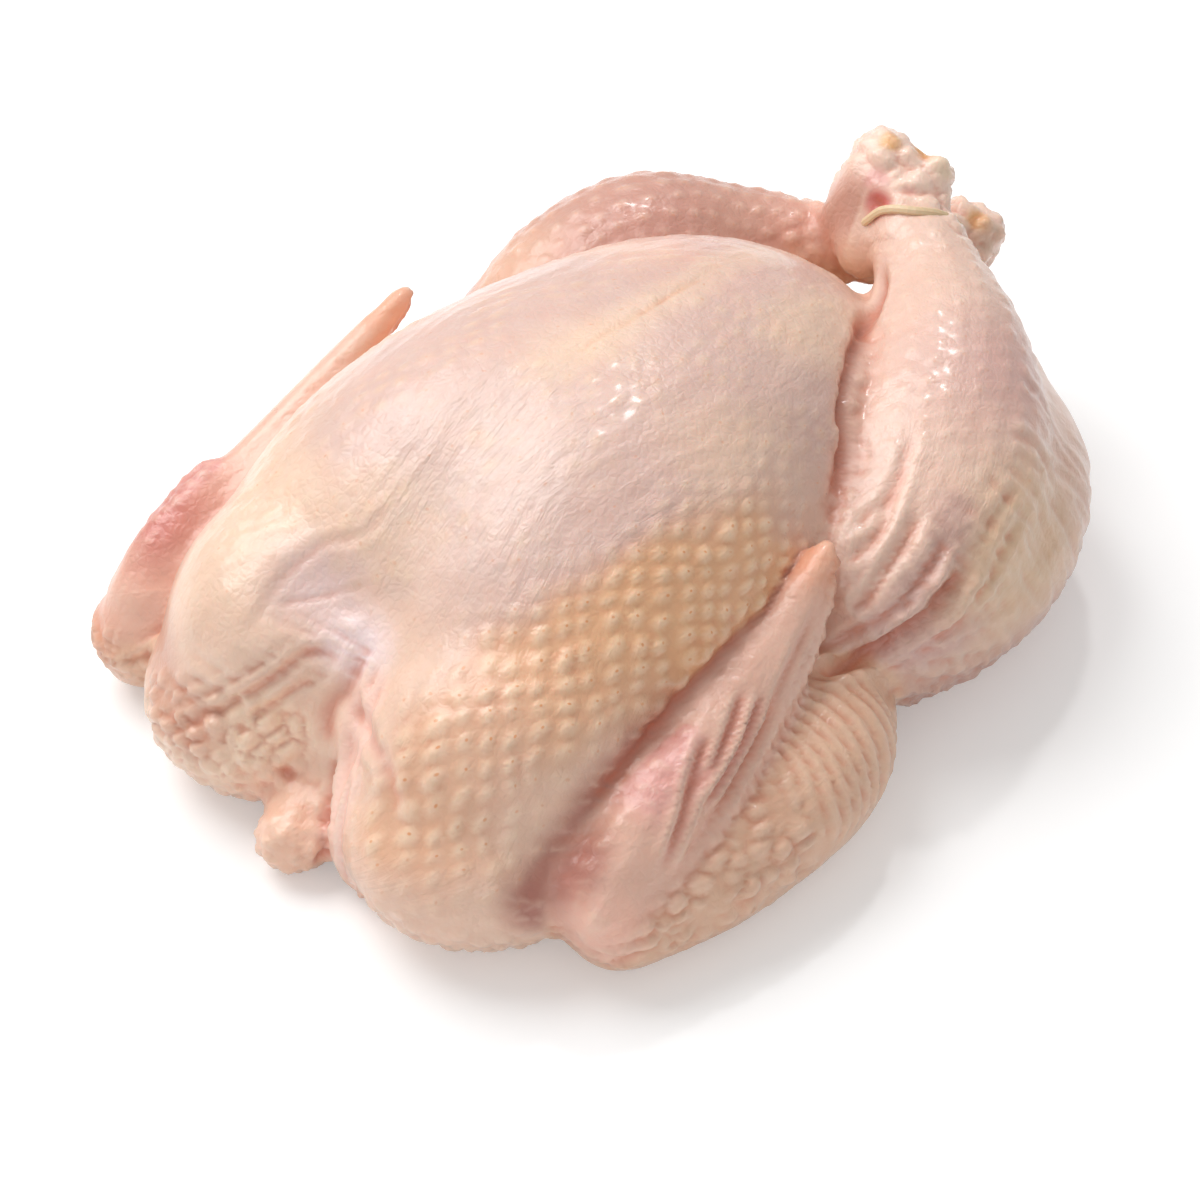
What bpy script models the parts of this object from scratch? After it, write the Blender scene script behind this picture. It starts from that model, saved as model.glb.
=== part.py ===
"""A whole raw chicken, plucked and trussed, lying on its back.

The bird is one solid: trunk, legs, wings, neck skin and tail, fused into one skin.
A thin rubber band ties the two hocks and is a solid of its own.

Frame: +Y runs from the neck to the tail, +X is the bird's right side, +Z is up, and
z = 0 is the surface that the bird lies on.  Lengths in the tables are millimetres.
"""
import math

import bmesh
import bpy
import numpy as np
from mathutils import Vector

MM = 0.001

# ---- driving dimensions, in metres -------------------------------------------
SKIN_GRAIN = 0.002          # cell size of the fused skin
SKIN_TRIANGLES = 8300       # triangles that the finished bird is thinned to
TRUNK_MELT = 45             # softening rounds where the lobes of the trunk run together
LEG_MELT = 14               # softening rounds from thigh to drumstick
WING_MELT = 10              # softening rounds from upper arm to forearm
WHOLE_MELT = 3              # softening rounds over the finished bird, folds stay crisp
LIMB_RINGS = 9              # rings along a limb for each of its stations
LIMB_POINTS = 24            # points round a limb
DOME_RINGS = 6              # rings in the rounded end of a limb
BAND_RINGS = 44             # rings along the band
BAND_POINTS = 8             # points round the band
FLOOR_BOX = (0.4, 0.5, 0.05)    # block that presses the underside flat
BAND_WIDTH = 0.0024         # rubber band: width and thickness of the strip
BAND_THICKNESS = 0.0016
BAND_CLEARANCE = 0.0003     # gap between the band and the skin groove it lies in

SKIN_COLOUR = (0.79, 0.56, 0.43, 1.0)
BAND_COLOUR = (0.66, 0.47, 0.27, 1.0)

# ---- trunk --------------------------------------------------------------------
# Sections from the neck to the tail: y, height of the keel, height of the back,
# half width, height of the widest line, depth of the groove along the keel.
TRUNK_SECTIONS = (
    (-91, 32.5, 7, 26, 20.5, 5),
    (-86, 43, 2.5, 41.5, 24, 8.5),
    (-74, 58.5, 0, 59.5, 28.5, 9.5),
    (-56, 75, -1, 67, 32.5, 7),
    (-34.5, 87, -1.5, 69, 36, 3.5),
    (-10.5, 92, -1.5, 68, 37, 1.5),
    (15.5, 92, -1.5, 63.5, 37, 0.5),
    (38.5, 89.5, -1, 57.5, 37, 0),
    (58.5, 85, 0, 50, 38, 0),
    (75.5, 77.5, 2.5, 40.5, 38.5, 0),
    (89.5, 68, 7, 30, 38.5, 0),
    (100, 57, 14, 19, 36, 0),
    (105, 44.5, 24, 7, 34.5, 0),
)
GROOVE_HALF_WIDTH = 12
SECTION_FULLNESS = 2.25     # 2 is an ellipse, more is squarer
TRUNK_RINGS = 60
RING_POINTS = 72

# Ellipsoids: centre, radii, turn about Z in degrees.
TRUNK_LOBES = (
    ((35.5, -62, 31), (32.5, 39.5, 32.5), -12),     # right breast
    ((-34.5, -62, 31), (32, 39.5, 32.5), 12),     # left breast
    ((38, -76, 18.5), (34.5, 36.5, 23), -8),      # right shoulder
    ((-32, -75.5, 18), (32.5, 34.5, 22.5), 8),      # left shoulder
    ((0, 96.5, 20.5), (34.5, 22.5, 18), 0),        # fat round the vent
)

# ---- limbs, as chains of stations: centre, radius across, radius through --------
NECK_STUMP = (
    ((-1.5, -79, 10.5), 14.5, 10.5),
    ((-1.5, -93, 9.5), 13, 9.5),
    ((0, -104, 8.5), 9.5, 8.5),
)
NECK_FLAP = (
    ((7.5, -77.5, 31), 7, 5),
    ((10.5, -91, 23), 7.5, 5),
    ((14.5, -98, 14), 8.5, 5),
    ((20, -100, 7), 7, 5),
)
TAIL = (
    ((0, 101.5, 19), 17, 11),
    ((0, 117, 22.5), 14, 8.5),
    ((0, 129, 29), 7.5, 6),
)
RIGHT_THIGH = (
    ((51.5, 7, 22.5), 20.5, 19),
    ((60, 31, 25), 31, 25),
    ((63, 57, 26.5), 35.5, 28.5),
    ((55, 84.5, 28.5), 34.5, 28.5),
    ((39.5, 104, 32), 26, 24),
)
RIGHT_DRUMSTICK = (
    ((62, 29, 36), 26, 22.5),
    ((65.5, 48, 39.5), 30, 26.5),
    ((56, 72, 47.5), 28.5, 26.5),
    ((41.5, 93.5, 55), 22.5, 22.5),
    ((26, 109, 61), 15.5, 15.5),
    ((11, 119.5, 67), 11.5, 11.5),
    ((2.5, 124.5, 70.5), 12, 12),
)
LEFT_THIGH = (
    ((44.5, 12, 22.5), 19, 19),
    ((51.5, 38, 25), 28.5, 24),
    ((56, 63.5, 27.5), 33.5, 27.5),
    ((50, 89.5, 29), 32.5, 28.5),
    ((36, 106.5, 32), 26, 24),
)
LEFT_DRUMSTICK = (
    ((51.5, 38, 34.5), 22.5, 20.5),
    ((55, 62, 41.5), 26, 24),
    ((48, 84.5, 47.5), 25, 24),
    ((33.5, 104, 48), 18, 17),
    ((16.5, 117, 50), 12, 12),
    ((1.5, 129, 50.5), 11, 11),
    ((-10.5, 141, 50), 11, 11),
)
UPPER_ARM = (
    ((77.5, 0, 20.5), 14, 14),
    ((70.5, -20.5, 24), 16.5, 14.5),
    ((60, -48, 27.5), 19, 15.5),
)
RIGHT_FOREARM = (
    ((75.5, -74, 14.5), 14.5, 14.5),
    ((81.5, -53.5, 15.5), 16.5, 15.5),
    ((85, -29, 17), 17, 16.5),
    ((83.5, -10.5, 18), 17, 17),
    ((78.5, 2.5, 18), 14, 14.5),
)
RIGHT_HAND = (
    ((74, -77.5, 20.5), 12, 11),
    ((76.5, -65.5, 28.5), 13, 9.5),
    ((76.5, -49, 35.5), 12, 7.5),
    ((75, -29, 41.5), 11, 6),
    ((72, -8.5, 48), 8.5, 4.5),
    ((69, 4, 56.5), 5.5, 3.5),
    ((67, 10.5, 60), 3.5, 3),
)
RIGHT_THUMB = (
    ((74, -69, 32.5), 7.5, 6),
    ((73, -57, 38.5), 7, 5),
    ((73, -46.5, 44), 3.5, 3.5),
)
LEFT_FOREARM = (
    ((72, -81.5, 14.5), 14, 14.5),
    ((77.5, -57, 15.5), 15.5, 15.5),
    ((79, -29, 17), 15.5, 16.5),
    ((77.5, -8.5, 18), 15.5, 17),
    ((74, 4.5, 18), 13, 14.5),
)
LEFT_HAND = (
    ((73, -79, 24), 11, 10.5),
    ((74, -58.5, 35.5), 11, 7.5),
    ((74, -39.5, 42), 9.5, 6),
    ((74, -20.5, 49), 8.5, 5),
    ((74, -1.5, 55), 7, 4.5),
    ((74, 11, 59.5), 5, 3.5),
    ((74, 16.5, 62), 3.5, 3),
)
LEFT_THUMB = (
    ((75.5, -75.5, 31), 7.5, 7),
    ((77.5, -63.5, 38.5), 7, 5),
    ((77.5, -52.5, 46.5), 3.5, 3.5),
)
HAND_FACING = (0.83, -0.12, 0.4)    # the way the flat of a wing tip faces

# Hock joints: the right one ends above the band, the left one behind it.
HOCK_LOBES = (
    ((-1, 124.5, 69), (14, 13, 14), 0),       # right hock
    ((-3.5, 127.5, 79), (9.5, 8.5, 7.5), 0),        # its cut end
    ((8.5, 130, 75.5), (7.5, 7.5, 7), 0),
    ((-7, 118, 63.5), (7.5, 7.5, 11), 0),         # skin hanging from it
    ((1, 113.5, 59.5), (7.5, 7, 10.5), 0),          # skin bulging under the band
    ((12, 143, 50), (10.5, 11, 12), 20),      # left hock
    ((17, 147, 53.5), (7, 7, 7), 0),
)
# Centre line of the band, which runs round both shanks just below the right hock.
BAND_PATH = (
    (1.5, 111.5, 68), (7.5, 111.5, 75), (15.5, 114, 77), (21, 121, 74), (22.5, 128, 64.5),
    (16.5, 130, 50), (6, 133.5, 38.5), (-5, 138.5, 43), (-8.5, 136, 57), (-4.5, 122, 63.5),
)


def catmull_rom(values, count, closed=False):
    """Read `count` evenly spaced rows from a smooth curve through `values`."""
    points = np.array(values, float)
    if closed:
        padded = np.vstack([points[-1], points, points[0], points[1]])
        spans, last = len(points), count
    else:
        padded = np.vstack([2 * points[0] - points[1], points, 2 * points[-1] - points[-2]])
        spans, last = len(points) - 1, count - 1
    rows = []
    for step in range(count):
        u = step / last * spans
        i = min(int(u), spans - 1)
        t = u - i
        a, b, c, d = padded[i:i + 4]
        rows.append(0.5 * (2 * b + (c - a) * t + (2 * a - 5 * b + 4 * c - d) * t ** 2
                           + (3 * b - a - 3 * c + d) * t ** 3))
    return np.array(rows)


def bridge(mesh, rings, closed=False):
    """Join rings of points into a skin, closed into a loop or with a fan at each end."""
    loops = [[mesh.verts.new(Vector(point) * MM) for point in ring] for ring in rings]
    count = len(loops[0])
    for lower, upper in zip(loops, loops[1:] + loops[:1] if closed else loops[1:]):
        for i in range(count):
            j = (i + 1) % count
            mesh.faces.new((lower[i], lower[j], upper[j], upper[i]))
    if closed:
        return
    for loop in (loops[0][::-1], loops[-1]):
        middle = mesh.verts.new(sum((v.co for v in loop), Vector()) / count)
        for i in range(count):
            mesh.faces.new((loop[i], loop[(i + 1) % count], middle))


def add_trunk(mesh):
    """Loft the trunk through its sections, rounder above and flatter below."""
    power = 2 / SECTION_FULLNESS
    rings = []
    for y, keel, back, half, widest, groove in catmull_rom(TRUNK_SECTIONS, TRUNK_RINGS):
        ring = []
        for angle in np.linspace(0, 2 * math.pi, RING_POINTS, endpoint=False):
            c, s = math.cos(angle), math.sin(angle)
            x = half * math.copysign(abs(c) ** power, c)
            reach = keel - widest if s > 0 else widest - back
            z = widest + reach * math.copysign(abs(s) ** power, s)
            if s > 0:
                z -= groove * math.exp(-(x / GROOVE_HALF_WIDTH) ** 2)
            ring.append((x, y, z))
        rings.append(ring)
    bridge(mesh, rings)


def add_lobes(mesh, lobes):
    """Add ellipsoids."""
    for centre, radii, turn in lobes:
        ball = bmesh.ops.create_icosphere(mesh, subdivisions=4, radius=1.0)
        c, s = math.cos(math.radians(turn)), math.sin(math.radians(turn))
        for vert in ball["verts"]:
            x, y, z = (a * b for a, b in zip(vert.co, radii))
            vert.co = (Vector((x * c - y * s, x * s + y * c, z)) + Vector(centre)) * MM


def add_limb(mesh, stations, side=1, facing=(0, 0, 1)):
    """Sweep an ellipse along a chain of stations and round off both ends.

    side -1 mirrors the limb to the left.  The radius "through" is measured along
    facing, and the radius "across" at right angles to it.
    """
    path = catmull_rom([(*centre, across, through) for centre, across, through in stations],
                       LIMB_RINGS * len(stations))
    path[:, 0] *= side
    facing = Vector((facing[0] * side, facing[1], facing[2]))
    dome = [(math.cos(a), math.sin(a)) for a in np.linspace(0.15, 1.4, DOME_RINGS)]
    last = len(path) - 1
    rings = []
    for i, row in enumerate(path):
        centre, across, through = Vector(row[:3]), row[3], row[4]
        ahead = Vector(path[min(i + 1, last)][:3]) - Vector(path[max(i - 1, 0)][:3])
        ahead.normalize()
        wide = ahead.cross(facing).normalized()
        thick = wide.cross(ahead).normalized()
        slices = [(0.0, 1.0)]
        if i == 0:
            slices = [(-push, size) for push, size in dome] + slices
        if i == last:
            slices += [(push, size) for push, size in dome[::-1]]
        for push, size in slices:
            middle = centre + ahead * push * min(across, through)
            rings.append([middle + (wide * math.cos(t) * across + thick * math.sin(t) * through) * size
                          for t in np.linspace(0, 2 * math.pi, LIMB_POINTS, endpoint=False)])
    bridge(mesh, rings)


def add_strip_loop(mesh, path, width, thickness):
    """Sweep a rounded strip round a closed path, flat against its middle."""
    line = catmull_rom(path, BAND_RINGS, closed=True)
    middle = Vector(line.mean(axis=0))
    rings = []
    for i, row in enumerate(line):
        point = Vector(row)
        ahead = (Vector(line[(i + 1) % len(line)]) - Vector(line[i - 1])).normalized()
        outward = point - middle
        outward = (outward - ahead * outward.dot(ahead)).normalized()
        along = ahead.cross(outward)
        rings.append([point + (outward * math.sin(t) * thickness + along * math.cos(t) * width) / MM / 2
                      for t in np.linspace(0, 2 * math.pi, BAND_POINTS, endpoint=False)])
    bridge(mesh, rings, closed=True)
    bmesh.ops.recalc_face_normals(mesh, faces=mesh.faces)


def melt(mesh, rounds):
    """Fuse the overlapping shapes of a mesh into one skin and soften it."""
    bmesh.ops.recalc_face_normals(mesh, faces=mesh.faces)
    data = bpy.data.meshes.new("lump")
    mesh.to_mesh(data)
    lump = bpy.data.objects.new("lump", data)
    bpy.context.scene.collection.objects.link(lump)
    fuse = lump.modifiers.new("fuse", "REMESH")
    fuse.mode = "VOXEL"
    fuse.voxel_size = SKIN_GRAIN
    soften = lump.modifiers.new("soften", "SMOOTH")
    soften.factor = 0.5
    soften.iterations = rounds
    fused = bpy.data.meshes.new_from_object(
        lump.evaluated_get(bpy.context.evaluated_depsgraph_get()))
    bpy.data.objects.remove(lump, do_unlink=True)
    mesh.clear()
    mesh.from_mesh(fused)


def take_in(whole, part):
    """Add a finished part to the whole bird."""
    data = bpy.data.meshes.new("part")
    part.to_mesh(data)
    whole.from_mesh(data)
    bpy.data.meshes.remove(data)
    part.free()


def new_object(name, mesh, colour=None, roughness=0.5):
    """Make an object of a mesh, with its own plain material."""
    data = bpy.data.meshes.new(name)
    mesh.to_mesh(data)
    mesh.free()
    piece = bpy.data.objects.new(name, data)
    bpy.context.scene.collection.objects.link(piece)
    if colour:
        material = bpy.data.materials.new(name)
        material.use_nodes = True
        shader = material.node_tree.nodes["Principled BSDF"]
        shader.inputs["Base Color"].default_value = colour
        shader.inputs["Roughness"].default_value = roughness
        shader.inputs["Metallic"].default_value = 0.0
        data.materials.append(material)
    return piece


def new_cutter(name, mesh):
    """Make an object that only cuts others."""
    cutter = new_object(name, mesh)
    cutter.hide_render = True
    cutter.display_type = "WIRE"
    return cutter


def build_bird():
    """Model each part of the bird softly, then fuse them with crisper folds between."""
    whole = bmesh.new()
    trunk = bmesh.new()
    add_trunk(trunk)
    add_lobes(trunk, TRUNK_LOBES)
    melt(trunk, TRUNK_MELT)
    take_in(whole, trunk)
    for side, thigh, drumstick in ((1, RIGHT_THIGH, RIGHT_DRUMSTICK),
                                   (-1, LEFT_THIGH, LEFT_DRUMSTICK)):
        leg = bmesh.new()
        add_limb(leg, thigh, side)
        add_limb(leg, drumstick, side)
        melt(leg, LEG_MELT)
        take_in(whole, leg)
    for side, forearm, hand, thumb in ((1, RIGHT_FOREARM, RIGHT_HAND, RIGHT_THUMB),
                                       (-1, LEFT_FOREARM, LEFT_HAND, LEFT_THUMB)):
        wing = bmesh.new()
        add_limb(wing, forearm, side)
        add_limb(wing, UPPER_ARM, side)
        melt(wing, WING_MELT)
        add_limb(wing, hand, side, HAND_FACING)
        add_limb(wing, thumb, side, HAND_FACING)
        take_in(whole, wing)
    ends = bmesh.new()
    add_limb(ends, NECK_STUMP)
    add_limb(ends, NECK_FLAP, facing=(-0.8, -0.5, 0.3))
    add_limb(ends, TAIL)
    add_lobes(ends, HOCK_LOBES)
    take_in(whole, ends)
    melt(whole, WHOLE_MELT)
    triangles = 2 * len(whole.faces)
    bird = new_object("chicken", whole, SKIN_COLOUR, 0.35)
    thin = bird.modifiers.new("thin", "DECIMATE")
    thin.ratio = SKIN_TRIANGLES / triangles
    thin.use_collapse_triangulate = True

    groove = bmesh.new()
    add_strip_loop(groove, BAND_PATH, BAND_WIDTH + 2 * BAND_CLEARANCE,
                   BAND_THICKNESS + 2 * BAND_CLEARANCE)
    floor = bmesh.new()
    bmesh.ops.create_cube(floor, size=1.0)
    bmesh.ops.scale(floor, vec=FLOOR_BOX, verts=floor.verts)
    bmesh.ops.translate(floor, vec=(0, 0, -FLOOR_BOX[2] / 2), verts=floor.verts)
    for name, mesh in (("press_flat", floor), ("band_groove", groove)):
        cut = bird.modifiers.new(name, "BOOLEAN")
        cut.operation = "DIFFERENCE"
        cut.object = new_cutter(name, mesh)
    return bird


def build_band():
    """Make the rubber band that holds the hocks together."""
    band = bmesh.new()
    add_strip_loop(band, BAND_PATH, BAND_WIDTH, BAND_THICKNESS)
    new_object("hock_band", band, BAND_COLOUR, 0.5)


def stand_on_origin(bird):
    """Move everything so that the origin is under the middle of the bird's box."""
    skin = bird.evaluated_get(bpy.context.evaluated_depsgraph_get())
    corners = [Vector(corner) for corner in skin.bound_box]
    middle = (corners[0] + corners[6]) / 2
    for piece in bpy.context.scene.objects:
        piece.location = (-middle.x, -middle.y, 0)


for old in list(bpy.data.objects):
    bpy.data.objects.remove(old, do_unlink=True)
chicken = build_bird()
build_band()
stand_on_origin(chicken)
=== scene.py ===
"""The looks of a whole raw chicken, plucked and trussed, lying on its back.

+Y runs from the neck to the tail, +X is the bird's right side and +Z is up.
Tables are in millimetres, as everything that is sculpted here is.
"""
import math

import bpy
import numpy as np
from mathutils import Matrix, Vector, noise


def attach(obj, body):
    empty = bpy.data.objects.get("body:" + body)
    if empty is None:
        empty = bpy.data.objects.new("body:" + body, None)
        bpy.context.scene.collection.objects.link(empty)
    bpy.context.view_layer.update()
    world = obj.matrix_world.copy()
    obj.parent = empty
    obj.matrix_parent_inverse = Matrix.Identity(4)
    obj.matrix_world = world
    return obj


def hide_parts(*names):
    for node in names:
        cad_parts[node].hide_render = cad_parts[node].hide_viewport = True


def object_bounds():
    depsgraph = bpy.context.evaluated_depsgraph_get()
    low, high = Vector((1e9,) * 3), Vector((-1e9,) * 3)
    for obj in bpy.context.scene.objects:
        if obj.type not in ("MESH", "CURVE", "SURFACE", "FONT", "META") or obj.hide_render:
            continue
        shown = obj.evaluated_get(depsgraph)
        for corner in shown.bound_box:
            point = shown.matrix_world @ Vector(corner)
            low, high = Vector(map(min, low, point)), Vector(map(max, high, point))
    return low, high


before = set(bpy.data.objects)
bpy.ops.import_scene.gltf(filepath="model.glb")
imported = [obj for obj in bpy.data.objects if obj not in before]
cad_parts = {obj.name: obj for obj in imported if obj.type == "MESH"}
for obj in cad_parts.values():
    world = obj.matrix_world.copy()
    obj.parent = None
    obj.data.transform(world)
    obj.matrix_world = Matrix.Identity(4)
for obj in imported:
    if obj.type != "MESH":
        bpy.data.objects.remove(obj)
cad_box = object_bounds()

# ---- Skin: a fine, even net over the bird -------------------------------------------
# The whole bird wears one moist skin over fat and muscle.  It starts as a copy of the
# bird's own solid, meshed again evenly and eased until no flat facet is left.
MM = 0.001
NET_CELL = 1.34 * MM
EASING_ROUNDS = 20
EASE_IN, EASE_OUT = 0.5, -0.51      # one step shrinks, the next swells back

bpy.ops.object.select_all(action="DESELECT")
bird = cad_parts["chicken"]
bird.select_set(True)
bpy.context.view_layer.objects.active = bird
bpy.ops.object.duplicate()
skin = bpy.context.active_object
skin.name = "skin"
for mark in list(skin.keys()):
    del skin[mark]
bpy.ops.object.mode_set(mode="EDIT")
bpy.ops.mesh.select_all(action="SELECT")
bpy.ops.mesh.remove_doubles(threshold=0.01 * MM)
bpy.ops.object.mode_set(mode="OBJECT")
bpy.ops.object.modifier_add(type="REMESH")
skin.modifiers[-1].mode = "VOXEL"
skin.modifiers[-1].voxel_size = NET_CELL
bpy.ops.object.modifier_apply(modifier=skin.modifiers[-1].name)

net = skin.data
place = np.empty(len(net.vertices) * 3)
net.vertices.foreach_get("co", place)
place = place.reshape(-1, 3) / MM
ends = np.empty(len(net.edges) * 2, int)
net.edges.foreach_get("vertices", ends)
ends = ends.reshape(-1, 2)
valence = np.bincount(ends.ravel(), minlength=len(place))


def neighbours(values):
    """The mean of the values at each point's neighbours."""
    total = np.zeros_like(values)
    for here, there in ((0, 1), (1, 0)):
        for axis in range(values.shape[1]):
            total[:, axis] += np.bincount(ends[:, here], values[ends[:, there], axis],
                                          len(values))
    return total / valence[:, None]


def lay_skin(points):
    """Put the points, in millimetres, back into the net, and read its normals."""
    net.vertices.foreach_set("co", (points * MM).ravel())
    net.update()
    facing = np.empty(len(points) * 3)
    net.vertex_normals.foreach_get("vector", facing)
    return facing.reshape(-1, 3)


for _ in range(EASING_ROUNDS):
    for amount in (EASE_IN, EASE_OUT):
        place += amount * (neighbours(place) - place)
facing = lay_skin(place)

# ---- Skin: the sculptor's tools --------------------------------------------------------
# `lift` is how far each point of the skin is raised, and `tone` is its own colour.
# Creases, lumps and stains are added to these two, place by place.
lift = np.zeros(len(place))


def pigment(red, green, blue):
    """A colour given as it looks, from 0 to 255, as the light it gives back."""
    look = np.array((red, green, blue)) / 255
    return np.where(look < 0.04045, look / 12.92, ((look + 0.055) / 1.055) ** 2.4)


CREAM = pigment(240, 208, 188)
tone = np.tile(CREAM, (len(place), 1))


def fade(value, start, end):
    """0 at `start`, 1 at `end`, smooth between."""
    t = np.clip((value - start) / (end - start), 0, 1)
    return t * t * (3 - 2 * t)


def stain(amount, colour):
    """Blend a colour into the skin by an amount from 0 to 1 at each point."""
    global tone
    amount = np.clip(amount, 0, 1)[:, None]
    tone = tone * (1 - amount) + np.asarray(colour) * amount


def waves(points, size):
    """Smooth noise from -1 to 1 with swells about `size` apart; 3 sizes stretch it."""
    return np.array([noise.noise(p) for p in (points / np.asarray(size)).tolist()])


def pebbles(points, size):
    """Rounded lumps about `size` across, 1 at their crowns and 0 in the seams between."""
    gaps = np.array([noise.voronoi(p)[0][:2] for p in (points / np.asarray(size)).tolist()])
    seam = fade(gaps[:, 1] - gaps[:, 0], 0.0, 0.42)
    return seam * (1 - 0.6 * np.clip(gaps[:, 0], 0, 1) ** 2)


def ridges(points, size):
    """Narrow raised folds in smooth ground, from 0 to 1."""
    return (1 - np.abs(waves(points, size)) * 2.2).clip(0, 1) ** 1.5


def thread(stations, steps=8):
    """A smooth line through the stations."""
    p = np.array(stations, float)
    p = np.vstack([2 * p[0] - p[1], p, 2 * p[-1] - p[-2]])
    rows = []
    for a, b, c, d in zip(p, p[1:], p[2:], p[3:]):
        for t in np.arange(steps) / steps:
            rows.append(0.5 * (2 * b + (c - a) * t + (2 * a - 5 * b + 4 * c - d) * t ** 2
                               + (3 * b - a - 3 * c + d) * t ** 3))
    return np.array(rows + [p[-2]])


def follow(line, reach):
    """Which points lie within `reach` of a line, how far off it they are, how far along
    it in millimetres, and the spot on the line that each is nearest to."""
    near = np.nonzero(((place > line.min(0) - reach) & (place < line.max(0) + reach)).all(1))[0]
    off = np.full(len(near), np.inf)
    along = np.zeros(len(near))
    foot = np.zeros((len(near), 3))
    walked = 0.0
    for start, end in zip(line, line[1:]):
        step = end - start
        length = np.linalg.norm(step)
        t = ((place[near] - start) @ step / length ** 2).clip(0, 1)
        spot = start + t[:, None] * step
        away = np.linalg.norm(place[near] - spot, axis=1)
        closer = away < off
        off[closer] = away[closer]
        along[closer] = walked + t[closer] * length
        foot[closer] = spot[closer]
        walked += length
    kept = off < reach
    return near[kept], off[kept], along[kept], foot[kept], walked


CREASE_REACH = 3.5      # in widths


def crease(stations, depth, width, lip=0.35, colour=None, strength=0.6):
    """Press a line into the skin, with a slightly raised lip on both sides of it."""
    near, off, along, _, length = follow(thread(stations), CREASE_REACH * width)
    ends_off = fade(along, 0, 0.2 * length) * fade(length - along, 0, 0.2 * length)
    valley = np.exp(-(off / width) ** 2)
    shoulder = np.exp(-((off - 1.9 * width) / (0.8 * width)) ** 2)
    lift[near] += depth * ends_off * (lip * shoulder - valley)
    if colour is not None:
        amount = np.zeros(len(place))
        amount[near] = strength * ends_off * valley
        stain(amount, colour)


def around(centre, radius, soft=0.5):
    """1 at a place on the skin, 0 outside the radius; three radii make an ellipsoid."""
    r = np.linalg.norm((place - np.array(centre)) / np.asarray(radius, float), axis=1)
    return 1 - fade(r, 1 - soft, 1)


def beside(stations, reach, core=0.3):
    """1 along a line, fading to 0 at `reach` from it."""
    amount = np.zeros(len(place))
    near, off, _, _, _ = follow(thread(stations), reach)
    amount[near] = 1 - fade(off, core * reach, reach)
    return amount


LIMB_REACH = 60


def limb_map(stations, girth, thick=None, up=(0, 0, 1)):
    """Distance from a limb's axis in limb radii, millimetres along it and round it, and
    how far across its breadth, from -1 to 1.  A flat limb is `thick` towards `up`."""
    line = thread(stations)
    near, _, along, foot, length = follow(line, LIMB_REACH)
    share, down, across, breadth = (np.full(len(place), 9.0), np.zeros(len(place)),
                                    np.zeros(len(place)), np.zeros(len(place)))
    radius = np.interp(along, np.linspace(0, length, len(girth)), girth)
    depth = radius if thick is None else np.interp(along, np.linspace(0, length, len(thick)),
                                                   thick)
    axis = line[-1] - line[0]
    axis /= np.linalg.norm(axis)
    side = np.cross(axis, up)
    side /= np.linalg.norm(side)
    top = np.cross(side, axis)
    out = place[near] - foot
    share[near] = np.sqrt(((out @ side) / radius) ** 2 + ((out @ top) / depth) ** 2
                          + ((out @ axis) / radius) ** 2)
    down[near] = along
    across[near] = np.arctan2(out @ side, out @ top) * radius
    breadth[near] = (out @ side) / radius
    return share, down, across, breadth


# ---- Skin: the parts of the body -------------------------------------------------------
# Maps over the breast, legs and wings give every fold and follicle a way to run.
KEEL_X = -4
THIGH_SEAM = ((-30, -3, 5, 16, 26, 38, 51, 68, 95), (72, 62, 57, 51, 44, 37, 31, 24, 10))
BODY_GIRTH = 62
x, y, z = place.T
half = np.abs(x - KEEL_X)
body_axis = np.interp(y, (-115, -60), (-6, 40))      # its height drops towards the neck

leg_r = limb_map(((58, 8, 36), (62, 27, 40), (52, 51, 48), (38, 73, 55), (22, 88, 61),
                  (7, 99, 67)), (24, 28, 27, 22, 15, 11))
leg_l = limb_map(((-55, 17, 35), (-59, 41, 42), (-52, 64, 48), (-37, 83, 48), (-20, 96, 50),
                  (-5, 108, 51)), (21, 25, 24, 18, 12, 11))
fore_r = limb_map(((72, -95, 15), (78, -74, 16), (81, -50, 17), (80, -31, 18), (75, -18, 18)),
                  (14, 16, 17, 17, 14))
fore_l = limb_map(((-76, -102, 15), (-81, -78, 16), (-83, -50, 17), (-81, -29, 18),
                   (-78, -16, 18)), (14, 15, 16, 16, 14))
hand_r = limb_map(((70, -98, 21), (73, -86, 29), (73, -70, 36), (71, -50, 42), (68, -29, 48),
                   (65, -17, 57), (63, -10, 60)), (12, 13, 13, 12, 10, 7, 4.5),
                 (11, 9, 7.5, 6.5, 5, 4, 3.5), (0.83, -0.12, 0.4))
hand_l = limb_map(((-77, -100, 24), (-78, -79, 36), (-78, -60, 42), (-78, -41, 49),
                   (-78, -22, 55), (-77, -8, 61)), (12, 12, 10.5, 9.5, 8, 4.5), (11, 8, 7, 6, 5, 4),
                  (-0.83, -0.12, 0.4))
thumb_r = limb_map(((70, -90, 33), (69, -78, 39), (69, -67, 44)), (7, 6, 3.5))
thumb_l = limb_map(((-79, -96, 31), (-81, -84, 39), (-81, -73, 47)), (7, 6, 3.5))

is_wing = np.zeros(len(place))
for share, *_ in (fore_r, fore_l, hand_r, hand_l, thumb_r, thumb_l):
    is_wing = np.maximum(is_wing, 1 - fade(share, 1.12, 1.45))
is_leg = (fade(half - np.interp(y, *THIGH_SEAM), -2, 2) * fade(y, -34, -22)
          * (1 - is_wing))
is_hock = fade(y, 92, 102) * fade(z, 40, 52)
is_leg = np.maximum(is_leg, fade(y + 0.6 * z, 118, 130))
is_trunk = (1 - is_leg) * (1 - is_wing)
is_right = x > KEEL_X

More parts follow.
